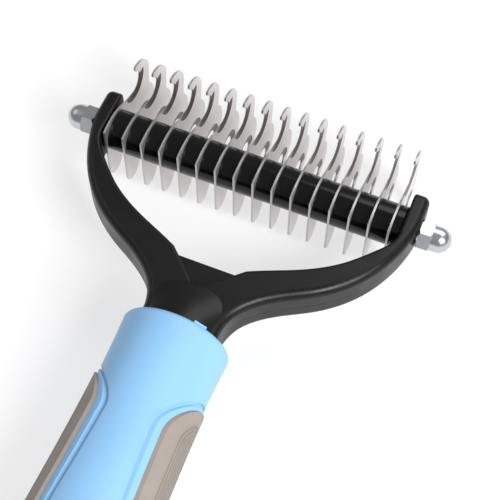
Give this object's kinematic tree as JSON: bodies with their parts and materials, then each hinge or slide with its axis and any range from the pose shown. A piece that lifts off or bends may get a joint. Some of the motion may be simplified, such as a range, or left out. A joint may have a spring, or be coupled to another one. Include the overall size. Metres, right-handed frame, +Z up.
{
  "type": "dematting comb",
  "caption": "Pet dematting comb: a row of double-hooked blades and round spacers on a threaded rod, held by cap nuts in a forked yoke on a padded round handle.",
  "frame": {"origin": "on the axis of the hang hole near the handle's end, at the middle of the handle's thickness", "axes": "+Y along the handle towards the blades, +X along the blade row, +Z up through the handle, the side the hook beaks and hang hole face"},
  "size_m": [0.1028, 0.184, 0.0318],
  "materials": {
    "yoke_black": "satin moulded black plastic",
    "spacer_black": "glossy black plastic",
    "blade_steel": "satin steel with darker ground bevels",
    "zinc_plate": "bright zinc plating",
    "grip_blue": "smooth pale blue soft plastic",
    "pad_grey": "warm grey rubber with fine ridges",
    "core_plastic": "plain hidden core"
  },
  "bodies": {
    "handle": {"yoke": "yoke_black", "handle_core": "core_plastic", "grip_sleeve": "grip_blue", "left_grip_pad": "pad_grey", "right_grip_pad": "pad_grey"},
    "blade_head": {"threaded_rod": "zinc_plate", "blade_01": "blade_steel", "blade_02": "blade_steel", "blade_03": "blade_steel", "blade_04": "blade_steel", "blade_05": "blade_steel", "blade_06": "blade_steel", "blade_07": "blade_steel", "blade_08": "blade_steel", "blade_09": "blade_steel", "blade_10": "blade_steel", "blade_11": "blade_steel", "blade_12": "blade_steel", "blade_13": "blade_steel", "blade_14": "blade_steel", "blade_15": "blade_steel", "blade_16": "blade_steel", "spacer_01": "spacer_black", "spacer_02": "spacer_black", "spacer_03": "spacer_black", "spacer_04": "spacer_black", "spacer_05": "spacer_black", "spacer_06": "spacer_black", "spacer_07": "spacer_black", "spacer_08": "spacer_black", "spacer_09": "spacer_black", "spacer_10": "spacer_black", "spacer_11": "spacer_black", "spacer_12": "spacer_black", "spacer_13": "spacer_black", "spacer_14": "spacer_black", "spacer_15": "spacer_black", "left_end_spacer": "spacer_black", "right_end_spacer": "spacer_black"},
    "left_cap_nut": {"left_cap_nut": "zinc_plate"},
    "right_cap_nut": {"right_cap_nut": "zinc_plate"}
  },
  "joints": [
    {"name": "head_swivel", "type": "hinge", "parent": "handle", "child": "blade_head", "pos_m": [0, 0.155, 0], "axis": [1, 0, 0], "range_deg": [0, 90]},
    {"name": "left_nut_turn", "type": "hinge", "parent": "blade_head", "child": "left_cap_nut", "pos_m": [-0.046, 0.155, 0], "axis": [1, 0, 0], "continuous": true},
    {"name": "right_nut_turn", "type": "hinge", "parent": "blade_head", "child": "right_cap_nut", "pos_m": [0.046, 0.155, 0], "axis": [1, 0, 0], "continuous": true}
  ]
}
